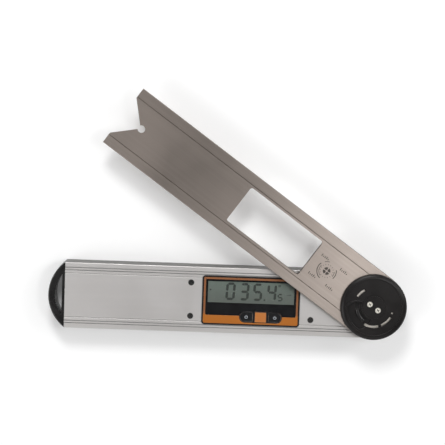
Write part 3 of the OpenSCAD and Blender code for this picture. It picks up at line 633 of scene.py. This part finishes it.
# Puts the shape on every point that the tree is given, as real faces in their finish
def placeOnPoints(tree, given, result, shape, turn):
    points = addNode(tree, "GeometryNodeMeshToPoints", {"Mesh": given.outputs["Geometry"]})
    placed = addNode(tree, "GeometryNodeInstanceOnPoints", {"Points": points.outputs[0], "Instance": shape,
                     "Rotation": turn})
    real = addNode(tree, "GeometryNodeRealizeInstances", {"Geometry": placed.outputs[0]})
    painted = addNode(tree, "GeometryNodeSetMaterial", {"Geometry": real.outputs[0],
                      "Material": given.outputs["Finish"]})
    tree.links.new(painted.outputs[0], result.inputs[0])


# Runs a tree on points and keeps the result as a plain mesh
def growOnPoints(name, places, tree, values):
    base = bpy.data.meshes.new(name + "Points")
    base.from_pydata([tuple(p) for p in places], [], [])
    holder = addObject(name + "Holder", base)
    modifier = holder.modifiers.new(name, "NODES")
    modifier.node_group = tree
    sockets = {s.name: s.identifier for s in tree.interface.items_tree if s.in_out == "INPUT"}
    for label, value in values.items():
        modifier[sockets[label]] = value
    holder.update_tag()
    evaluated = holder.evaluated_get(bpy.context.evaluated_depsgraph_get())
    mesh = bpy.data.meshes.new_from_object(evaluated)
    mesh.name = name
    holder.modifiers.remove(modifier)
    bpy.data.objects.remove(holder)
    bpy.data.meshes.remove(base)
    return mesh


# One screw, head up at the point: a seat cone, a bevelled rim, a shank and a cross recess
def makeScrewTree():
    tree, given, result = geometryTree("screws", [
        ("Head Radius", "Float", 2.4*mm), ("Head Height", "Float", 1.15*mm), ("Rim", "Float", 0.15*mm),
        ("Seat Radius", "Float", 1.25*mm), ("Shank Radius", "Float", 1.25*mm), ("Length", "Float", 8*mm),
        ("Recess Reach", "Float", 1.3*mm), ("Recess Width", "Float", 0.5*mm),
        ("Recess Depth", "Float", 0.9*mm), ("Turn", "Vector", (0, 0, 0)), ("Seed", "Int", 3),
        ("Least Spin", "Vector", (0, 0, 0.1)), ("Most Spin", "Vector", (0, 0, 1.5)),
        ("Finish", "Material", None)])
    value = given.outputs
    shankUnder = 1.3        # how many rims below the face the shank begins, inside the head

    def lifted(kind, height, sides, inputs):
        mesh = addNode(tree, kind, {"Vertices": sides, **inputs}).outputs[0]
        place = addNode(tree, "ShaderNodeCombineXYZ", {2: height})
        moved = addNode(tree, "GeometryNodeTransform", {"Geometry": mesh, "Translation": place.outputs[0]})
        return moved.outputs[0]

    rimBase = maths(tree, "MULTIPLY", value["Rim"], -1.0)
    seatBase = maths(tree, "SUBTRACT", rimBase, value["Head Height"])
    crownRadius = maths(tree, "SUBTRACT", value["Head Radius"], value["Rim"])
    shankMiddle = maths(tree, "SUBTRACT", maths(tree, "MULTIPLY", value["Length"], -0.5),
                        maths(tree, "MULTIPLY", value["Rim"], shankUnder))
    seat = lifted("GeometryNodeMeshCone", seatBase, 48, {"Radius Top": value["Head Radius"],
                  "Radius Bottom": value["Seat Radius"], "Depth": value["Head Height"]})
    rim = lifted("GeometryNodeMeshCone", rimBase, 48, {"Radius Top": crownRadius,
                 "Radius Bottom": value["Head Radius"], "Depth": value["Rim"]})
    shank = lifted("GeometryNodeMeshCylinder", shankMiddle, 32, {"Radius": value["Shank Radius"],
                   "Depth": value["Length"]})
    body = addNode(tree, "GeometryNodeMeshBoolean", operation="UNION", solver="EXACT")
    for mesh in (seat, rim, shank):
        tree.links.new(mesh, body.inputs["Mesh 2"])
    recess = addNode(tree, "GeometryNodeMeshBoolean", {"Mesh 1": body.outputs[0]}, operation="DIFFERENCE",
                     solver="EXACT")
    reach = maths(tree, "MULTIPLY", value["Recess Reach"], 2.0)
    deep = maths(tree, "MULTIPLY", value["Recess Depth"], 2.0)
    for across, along in ((reach, value["Recess Width"]), (value["Recess Width"], reach)):
        size = addNode(tree, "ShaderNodeCombineXYZ", {0: across, 1: along, 2: deep})
        bar = addNode(tree, "GeometryNodeMeshCube", {"Size": size.outputs[0]})
        tree.links.new(bar.outputs[0], recess.inputs["Mesh 2"])
    spin = addNode(tree, "FunctionNodeRandomValue", {0: value["Least Spin"], 1: value["Most Spin"],
                   "Seed": value["Seed"]}, data_type="FLOAT_VECTOR")
    turned = addNode(tree, "FunctionNodeRotateEuler", {"Rotation": value["Turn"],
                     "Rotate By": spin.outputs[0]}, space="LOCAL")
    placeOnPoints(tree, given, result, recess.outputs[0], turned.outputs[0])
    return tree


# Short strokes standing round a circle, as an engraved ring has
def makeTickTree():
    tree, given, result = geometryTree("ringTicks", [
        ("Count", "Int", 24), ("Radius", "Float", 9*mm), ("Stroke", "Vector", (1*mm, 0.3*mm, 0.03*mm)),
        ("Turn", "Vector", (0, 0, 0)), ("Finish", "Material", None)])
    value = given.outputs
    ring = addNode(tree, "GeometryNodeMeshCircle", {"Vertices": value["Count"], "Radius": value["Radius"]})
    where = addNode(tree, "GeometryNodeInputPosition")
    facing = addNode(tree, "FunctionNodeAlignRotationToVector", {"Vector": where.outputs[0]}, axis="X",
                     pivot_axis="Z")
    stroke = addNode(tree, "GeometryNodeMeshCube", {"Size": value["Stroke"]})
    around = addNode(tree, "GeometryNodeInstanceOnPoints", {"Points": ring.outputs[0],
                     "Instance": stroke.outputs[0], "Rotation": facing.outputs[0]})
    placeOnPoints(tree, given, result, around.outputs[0], value["Turn"])
    return tree


screwTree = makeScrewTree()
tickTree = makeTickTree()


# Middles of a node's screws, towards the given corners of its box
def screwPlaces(node, radius, corners, faceUp):
    low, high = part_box(node)
    middle = (low + high)/2
    reachX, reachY = (high.x - low.x)/2 - radius, (high.y - low.y)/2 - radius
    z = high.z if faceUp else low.z
    return [Vector((middle.x + x*reachX, middle.y + y*reachY, z)) for x, y in corners]


countersunk = {
    "head": 2.4, "seat": 1.25, "shank": 1.25, "rim": 0.12, "headHeight": 1.03, "recess": (1.35, 0.42, 1.0),
}
screws = {
    "displayScrews": {
        "node": "carrier_screws", "body": "rail_body", "slot": "black_steel", "finish": "blackSteel",
        "corners": [(-1, -1), (1, -1), (1, 1), (-1, 1)], "faceUp": True,
        "length": 7.8, "seed": 5, **countersunk,
    },
    "railEndScrews": {
        "node": "housing_screws", "body": "rail_body", "slot": "screw_steel", "finish": "screwSteel",
        "corners": [(0, -1), (0, 1)], "faceUp": False,
        "length": 8.8, "seed": 11, **countersunk,
    },
    "bladeEndScrews": {
        "node": "blade_screws", "body": "blade_body", "slot": "screw_steel", "finish": "screwSteel",
        "corners": [(-1, -1), (1, 1)], "faceUp": False, "head": 2.0, "seat": 1.0, "shank": 1.0,
        "rim": 0.1, "headHeight": 0.9, "length": 4.6, "recess": (1.1, 0.36, 0.8), "seed": 7,
    },
    "plateScrews": {
        "node": "cap_screws", "body": "blade_body", "slot": "screw_steel", "finish": "screwSteel",
        "corners": [(-1, 1), (1, -1)], "faceUp": True, "head": 2.4, "seat": 2.4, "shank": 1.1,
        "rim": 0.45, "headHeight": 1.15, "length": 8.8, "recess": (1.3, 0.5, 0.9), "seed": 2,
    },
}
for name, v in screws.items():
    reach, width, depth = v["recess"]
    places = screwPlaces(v["node"], v["head"]*mm, v["corners"], v["faceUp"])
    mesh = growOnPoints(name, places, screwTree, {
        "Head Radius": v["head"]*mm, "Seat Radius": v["seat"]*mm, "Shank Radius": v["shank"]*mm,
        "Head Height": v["headHeight"]*mm, "Rim": v["rim"]*mm, "Length": v["length"]*mm,
        "Recess Reach": reach*mm, "Recess Width": width*mm, "Recess Depth": depth*mm, "Seed": v["seed"],
        "Turn": (0, 0, 0) if v["faceUp"] else (math.pi, 0, 0), "Finish": finishes[v["finish"]]})
    addPiece(name, mesh, v["body"], v["finish"], [v["node"]])
print("screws are in")


def rectangle(left, bottom, right, top):
    return [(left, bottom), (right, bottom), (right, top), (left, top)]


# A flat shape given as a closed outline, as thick as low to high
def addPlate(bm, outline, low, high):
    bottom = [bm.verts.new((x, y, low)) for x, y in outline]
    top = [bm.verts.new((x, y, high)) for x, y in outline]
    bm.faces.new(list(reversed(bottom)))
    bm.faces.new(top)
    for i in range(len(outline)):
        k = (i + 1) % len(outline)
        bm.faces.new((bottom[i], bottom[k], top[k], top[i]))


# A section of radii and heights, standing at an angle round a centre
def addSection(bm, centre, angle, section):
    cosine, sine = math.cos(angle), math.sin(angle)
    return [bm.verts.new((centre[0] + radius*cosine, centre[1] + radius*sine, z)) for radius, z in section]


# Joins sections into a bar, with a face at each end if it isn't closed into a ring
def joinSections(bm, rows, closed):
    for i in range(len(rows) if closed else len(rows) - 1):
        here, there = rows[i], rows[(i + 1) % len(rows)]
        for k in range(len(here)):
            n = (k + 1) % len(here)
            bm.faces.new((here[k], here[n], there[n], there[k]))
    if not closed:
        bm.faces.new(rows[0][::-1])
        bm.faces.new(rows[-1])


# Part of a flat ring, from angle first to angle last in degrees; 0 to 360 closes it
def addArc(bm, centre, inner, outer, first, last, low, high, steps):
    closed = last - first >= 360
    section = [(inner, low), (outer, low), (outer, high), (inner, high)]
    angles = [math.radians(first + (last - first)*i/steps) for i in range(steps if closed else steps + 1)]
    joinSections(bm, [addSection(bm, centre, angle, section) for angle in angles], closed)


def meshFrom(bm, name):
    bmesh.ops.recalc_face_normals(bm, faces=bm.faces)
    mesh = bpy.data.meshes.new(name)
    bm.to_mesh(mesh)
    bm.free()
    return mesh


# Places are from the middle of the glass, and marks are x, y and then their size
readout = {
    "figures": [("0", -16.4), ("3", -5.4), ("5", 5.2), ("4", 16.4)],
    "size": (5.5, 12.2), "stroke": 1.95, "raise": 0.75, "lean": 0.06,
    "small": ("5", 23.1, -3.0), "smallSize": (3.1, 5.0), "smallStroke": 1.1,
    "dot": (10.7, -5.4, 1.3), "degree": (22.4, 6.3, 0.45, 0.95),
    "leftMark": (-32.2, 1.6), "leftShape": [(-0.76, -0.95), (0.95, 0), (-0.76, 0.95)],
    "rightBar": (30.3, -0.9, 0.6, 0.9), "rightPitch": 1.11538,
    "above": 0.01, "thick": 0.05,
}
segmentsOf = {"0": "abcdef", "3": "abgcd", "4": "fgbc", "5": "afgcd"}


# Corners of one bar of a seven-bar figure, with pointed ends and a little gap to the next bar
def segmentOutline(name, wide, high, stroke):
    x, y = wide/2, high/2
    (startX, startY), (endX, endY) = {
        "a": ((-x, y), (x, y)), "g": ((-x, 0), (x, 0)), "d": ((-x, -y), (x, -y)), "f": ((-x, 0), (-x, y)),
        "b": ((x, 0), (x, y)), "e": ((-x, -y), (-x, 0)), "c": ((x, -y), (x, 0)),
    }[name]
    length = math.hypot(endX - startX, endY - startY)
    wayX, wayY = (endX - startX)/length, (endY - startY)/length
    gap, half = 0.06*stroke, stroke/2
    points = [(gap, 0), (gap + half, half), (length - gap - half, half), (length - gap, 0),
              (length - gap - half, -half), (gap + half, -half)]
    return [(startX + wayX*a - wayY*b, startY + wayY*a + wayX*b) for a, b in points]


def figureBars(figure, x, y, size, stroke, lean):
    bars = [segmentOutline(name, size[0], size[1], stroke) for name in segmentsOf[figure]]
    return [[(x + a + lean*b, y + b) for a, b in bar] for bar in bars]


def makeReadout(v):
    low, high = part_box("lcd_panel")
    centre = (low + high)/2
    base, top = high.z + v["above"]*mm, high.z + (v["above"] + v["thick"])*mm
    outlines = []
    for figure, x in v["figures"]:
        outlines += figureBars(figure, x, v["raise"], v["size"], v["stroke"], v["lean"])
    figure, x, y = v["small"]
    outlines += figureBars(figure, x, y, v["smallSize"], v["smallStroke"], v["lean"])
    x, y, side = v["dot"]
    outlines.append(rectangle(x - side/2, y - side/2, x + side/2, y + side/2))
    x, y = v["leftMark"]
    outlines.append([(x + a, y + b) for a, b in v["leftShape"]])
    x, y, wide, tall = v["rightBar"]
    for k in (-1, 0, 1):
        at = x + k*v["rightPitch"]
        outlines.append(rectangle(at - wide/2, y - tall/2, at + wide/2, y + tall/2))
    bm = bmesh.new()
    for outline in outlines:
        addPlate(bm, [(centre.x + a*mm, centre.y + b*mm) for a, b in outline], base, top)
    x, y, inner, outer = v["degree"]
    addArc(bm, (centre.x + x*mm, centre.y + y*mm), inner*mm, outer*mm, 0, 360, base, top, steps=20)
    addPiece("display_figures", meshFrom(bm, "display_figures"), "rail_body", "readoutInk")


makeReadout(readout)
print("display reads its angle")


keyMarks = {
    "ring": (0.85, 1.2), "open": (120, 420), "barWide": 0.36, "barFrom": 0.2, "barTo": 1.5,
    "crown": 16.0, "above": 0.015, "thick": 0.03,
}


# A ring on a button, or an open ring with a bar, laid over the crown, which is round about the rail's length
def makeKeyMark(node, body, name, v, withBar):
    low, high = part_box(node)
    x, y = (low.x + high.x)/2, (low.y + high.y)/2
    inner, outer = v["ring"]
    first, last = v["open"] if withBar else (0, 360)
    base, top = v["above"]*mm, (v["above"] + v["thick"])*mm
    bm = bmesh.new()
    addArc(bm, (x, y), inner*mm, outer*mm, first, last, base, top, steps=24)
    if withBar:
        half = v["barWide"]/2*mm
        addPlate(bm, rectangle(x - half, y + v["barFrom"]*mm, x + half, y + v["barTo"]*mm), base, top)
    crown = v["crown"]*mm
    for vert in bm.verts:
        vert.co.z += high.z - (crown - math.sqrt(crown*crown - (vert.co.y - y)**2))
    addPiece(name, meshFrom(bm, name), body, "printedMark")


makeKeyMark("zero_button", "zero_key", "zero_mark", keyMarks, False)
makeKeyMark("power_button", "power_key", "power_mark", keyMarks, True)
print("buttons are marked")


# A bar swept round a centre, rounded over its top and down at both ends
def addBead(bm, centre, inner, outer, low, high, bend, first, last, steps=48, across=6):
    length = math.radians(last - first)*(inner + outer)/2
    quarter = [math.pi/2*k/across for k in range(across + 1)]
    closing = 0.98          # share of the bend by which the very ends draw in
    rows = []
    for i in range(steps + 1):
        share = (1 - math.cos(math.pi*(i/steps)))/2       # closer together at the ends
        near = min(share, 1 - share)*length
        inset = 0.0
        if near < bend:
            inset = closing*(bend - math.sqrt(max(0.0, bend*bend - (bend - near)**2)))
        rounding = bend - inset
        start, spring = inner + inset, high - bend
        left = [(start + rounding*(1 - math.cos(t)), spring + rounding*math.sin(t)) for t in quarter]
        right = [(inner + outer - x, z) for x, z in reversed(left)]
        section = [(start, low), *left, *right, (outer - inset, low)]
        rows.append(addSection(bm, centre, math.radians(first + (last - first)*share), section))
    joinSections(bm, rows, False)


def smoothMesh(bm, name, angle=40):
    bmesh.ops.remove_doubles(bm, verts=bm.verts, dist=0.002*mm)
    bmesh.ops.recalc_face_normals(bm, faces=bm.faces)
    for edge in bm.edges:
        if len(edge.link_faces) == 2 and edge.calc_face_angle() > math.radians(angle):
            edge.smooth = False
    mesh = meshFrom(bm, name)
    mesh.polygons.foreach_set("use_smooth", [True]*len(mesh.polygons))
    return mesh


# Steps are how far out and at what share of the rise; cap and chamfer are those of the CAD's cap
capRim = {
    "inner": 22.3, "outer": 26.2, "rise": 0.55, "lip": 0.5, "steps": [(0, 0.7), (0.12, 0.93)], "flat": 0.3,
    "fall": 1.5, "cap": 25.2, "chamfer": 1.1, "skirt": 3.1, "sunk": 0.1, "around": 144, "across": 12,
}


# The cap's shoulder: a small step up from inside, then round, out over the cap's edge and down its side
def makeCapRim(v):
    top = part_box("hub_cap")[1].z - v["lip"]*mm
    inner, outer, rise = v["inner"]*mm, v["outer"]*mm, v["rise"]*mm
    section = [(inner, -v["sunk"]*mm)]
    section += [(inner + out*mm, share*rise) for out, share in v["steps"]]
    start = inner + v["flat"]*mm
    for i in range(v["across"] + 1):
        t = math.pi/2*i/v["across"]
        section.append((start + (outer - start)*math.sin(t), rise - (rise + v["fall"]*mm)*(1 - math.cos(t))))
    edge = (v["cap"] - v["sunk"])*mm
    section += [(outer, -v["skirt"]*mm), (edge, -v["skirt"]*mm), (edge, -(v["chamfer"] + v["sunk"])*mm),
                (edge - v["chamfer"]*mm, -v["sunk"]*mm)]
    section = [(radius, top + z) for radius, z in section]
    angles = [2*math.pi*i/v["around"] for i in range(v["around"])]
    bm = bmesh.new()
    joinSections(bm, [addSection(bm, (0, 0), angle, section) for angle in angles], True)
    addPiece("cap_rim", smoothMesh(bm, "cap_rim"), "blade_body", "hubBlack")


# The crown of the lip round the hollow, from the plate out to the shoulder; capRadius, radius, toCap and way
# place the hollow as the CAD does
hollowLip = {
    "capRadius": 25.2, "radius": 11.0, "toCap": 0.2, "way": (-0.44, -0.9), "wide": (-0.25, 1.45),
    "under": 0.55, "rise": 0.35, "round": 0.7, "reach": 21.2, "offPlate": 0.5,
}


def makeHollowLip(v):
    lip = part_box("hub_cap")[1].z
    low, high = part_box("cap_plate")
    plateRadius = (high.x - low.x)/2/mm
    wayX, wayY = v["way"]
    reach = v["capRadius"] - v["radius"] - v["toCap"]
    far = math.hypot(wayX, wayY)*reach
    centre = bladeTurn @ Vector((wayX*reach*mm, wayY*reach*mm, 0))
    inner, outer = v["radius"] + v["wide"][0], v["radius"] + v["wide"][1]
    middle = (inner + outer)/2

    def turnAt(radius):
        return math.degrees(math.acos((radius*radius - far*far - middle*middle)/(2*far*middle)))

    start = math.degrees(math.atan2(wayY, wayX) + bladeAngle)
    bm = bmesh.new()
    addBead(bm, centre, inner*mm, outer*mm, lip - v["under"]*mm, lip + v["rise"]*mm, v["round"]*mm,
            start - turnAt(plateRadius + v["offPlate"]), start - turnAt(v["reach"]))
    addPiece("hollow_lip", smoothMesh(bm, "hollow_lip"), "blade_body", "hubBlack")


lockTab = {
    "foot": (-162.0, -84.0), "footWide": 0.8, "footHigh": 0.5,
    "finger": (-136.0, -89.0), "fingerFrom": 0.45, "radius": (12.0, 14.6), "round": 0.65,
}


# Takes the lock tab's place: the same foot and finger, with the finger's edges rounded over
def makeLockTab(v):
    low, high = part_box("lock_tab")
    inner, outer = v["radius"]
    foot = [math.degrees(bladeAngle) + a for a in v["foot"]]
    finger = [math.degrees(bladeAngle) + a for a in v["finger"]]
    bm = bmesh.new()
    addArc(bm, (0, 0), (inner - v["footWide"])*mm, (outer + v["footWide"])*mm, *foot, low.z,
           low.z + v["footHigh"]*mm, steps=24)
    addBead(bm, (0, 0), inner*mm, outer*mm, low.z + v["fingerFrom"]*mm, high.z, v["round"]*mm, *finger)
    mesh = smoothMesh(bm, "lock_finger")
    addPiece("lock_finger", mesh, "lock_body", "trimBlack", ["lock_tab"])


makeCapRim(capRim)
makeHollowLip(hollowLip)
makeLockTab(lockTab)
print("hub cap has its rim, lip and tab")


# A ring is inner and outer radius and first and last angle; rows are the middles of rows of plain strokes
engraving = {
    "along": 47.0, "sunk": 0.005, "thick": 0.02,
    "rings": [(7.4, 8.05, 161, 262), (6.0, 6.4, 168, 252), (7.4, 8.0, -14, 42), (6.0, 6.4, -8, 30),
              (7.3, 7.75, 108, 138)],
    "lobes": 4, "lobeReach": (0.9, 3.0), "lobeWide": 34.0, "lobeFrom": 45,
    "ticks": 16, "tickRadius": 5.2, "tick": (0.9, 0.32),
    "rows": [(-7.6, 8.2), (11.0, 7.8), (-7.4, -9.3), (9.5, -9.3)], "rowLow": 1.0,
    "strokes": 5, "pitch": 1.5, "strokeWide": 0.62, "strokeHigh": (2.1, 1.2, 1.7),
}


def makeEngraving(v):
    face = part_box("blade")[1].z
    base, top = face - v["sunk"]*mm, face + v["thick"]*mm
    middle = bladeTurn @ Vector((-v["along"]*mm, 0, 0))
    turn = math.degrees(bladeAngle)
    bm = bmesh.new()
    for inner, outer, first, last in v["rings"]:
        addArc(bm, middle, inner*mm, outer*mm, first + turn, last + turn, base, top, steps=40)
    near, far = v["lobeReach"]
    for i in range(v["lobes"]):
        at = turn + v["lobeFrom"] + 360*i/v["lobes"]
        addArc(bm, middle, near*mm, far*mm, at - v["lobeWide"], at + v["lobeWide"], base, top, steps=16)
    for x, y in v["rows"]:
        for k in range(v["strokes"]):
            at = x + (k - (v["strokes"] - 1)/2)*v["pitch"]
            foot = y - v["rowLow"]
            tall = v["strokeHigh"][k % len(v["strokeHigh"])]
            stroke = rectangle(at - v["strokeWide"]/2, foot, at + v["strokeWide"]/2, foot + tall)
            stroke = [middle + bladeTurn @ Vector((a*mm, b*mm, 0)) for a, b in stroke]
            addPlate(bm, [(corner.x, corner.y) for corner in stroke], base, top)
    addPiece("engraved_ring", meshFrom(bm, "engraved_ring"), "blade_body", "etchedMark")
    along, across = v["tick"]
    ticks = growOnPoints("engravedTicks", [Vector((middle.x, middle.y, (base + top)/2))], tickTree, {
        "Count": v["ticks"], "Radius": v["tickRadius"]*mm, "Stroke": (along*mm, across*mm, top - base),
        "Turn": (0, 0, bladeAngle), "Finish": finishes["etchedMark"]})
    addPiece("engraved_ticks", ticks, "blade_body", "etchedMark")


makeEngraving(engraving)
print("blade is engraved")
